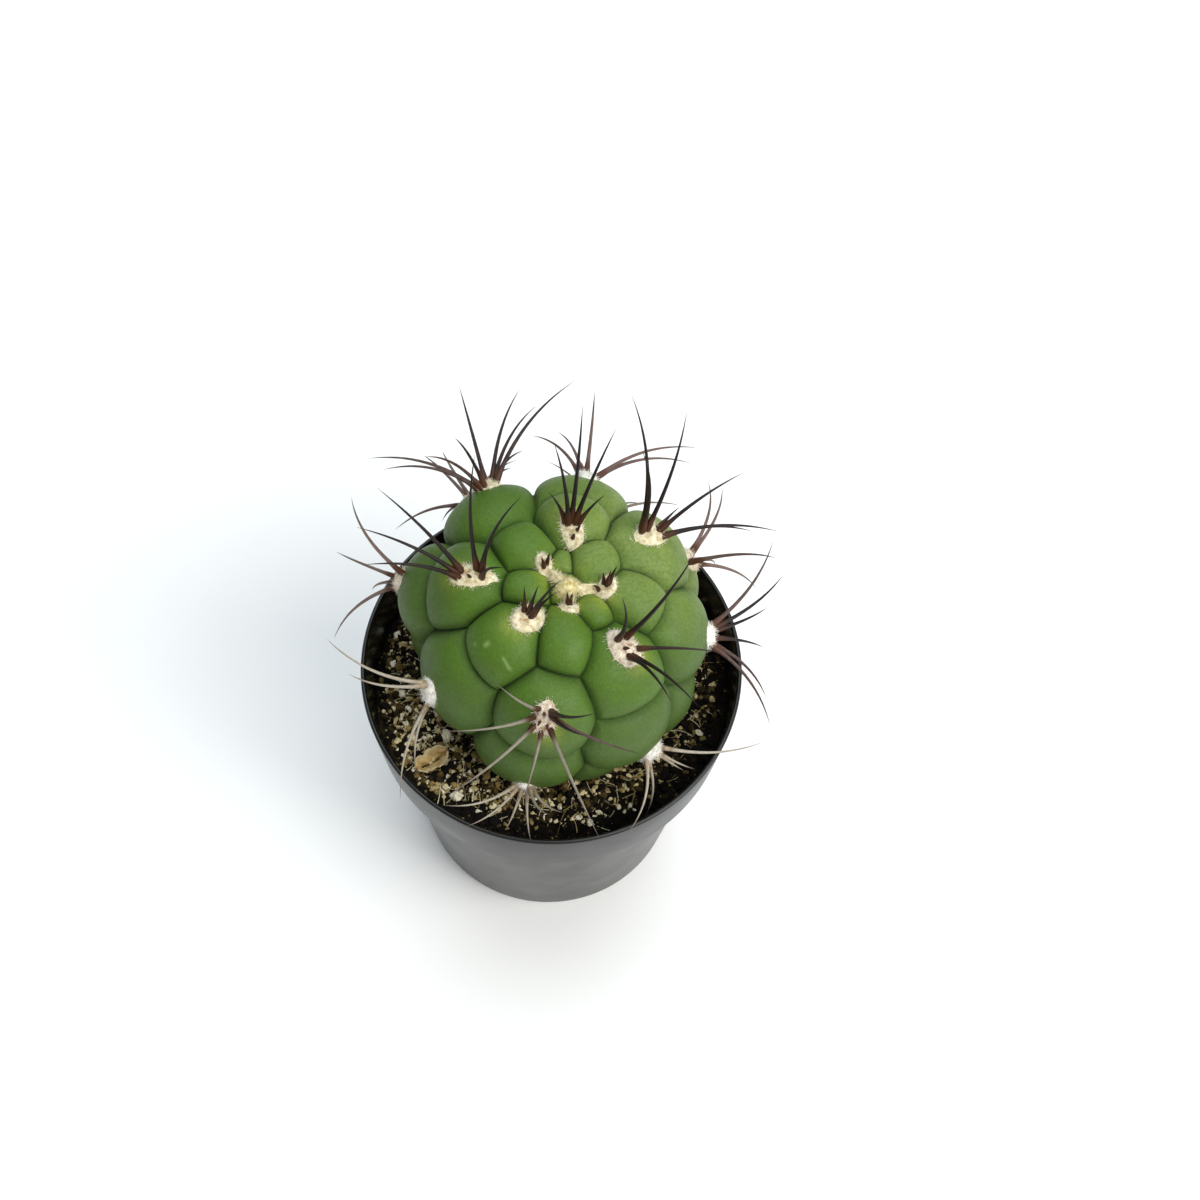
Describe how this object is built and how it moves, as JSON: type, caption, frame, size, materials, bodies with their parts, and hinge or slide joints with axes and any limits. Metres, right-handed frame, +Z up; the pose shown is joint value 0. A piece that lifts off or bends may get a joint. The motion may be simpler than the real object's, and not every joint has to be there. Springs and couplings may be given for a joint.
{
  "type": "potted cactus",
  "caption": "Globular chin cactus of rounded tubercles with wool pads and long curved spines, standing in soil in a round tapered nursery pot.",
  "frame": {"origin": "centre of the pot's underside, on the surface that the pot stands on", "axes": "+Z up, +X to the right seen from the front, the front is -Y"},
  "size_m": [0.1182, 0.128, 0.1619],
  "materials": {
    "pot": "matte charcoal plastic with a glossier inner edge",
    "soil": "dark gritty potting mix",
    "stem": "satin waxy green skin",
    "wool": "cream felted wool",
    "spine": "dark horny spines, older ones bleached"
  },
  "bodies": {
    "root": {"pot": "pot", "soil": "soil", "stem": "stem", "crown_wool": "wool", "areole_01": "spine", "areole_02": "spine", "areole_03": "spine", "areole_04": "spine", "areole_05": "spine", "areole_06": "spine", "areole_07": "spine", "areole_08": "spine", "areole_09": "spine", "areole_10": "spine", "areole_11": "spine", "areole_12": "spine", "areole_13": "spine", "areole_14": "spine", "areole_15": "spine", "areole_16": "spine", "areole_17": "spine", "areole_18": "spine", "areole_19": "spine"}
  },
  "joints": []
}
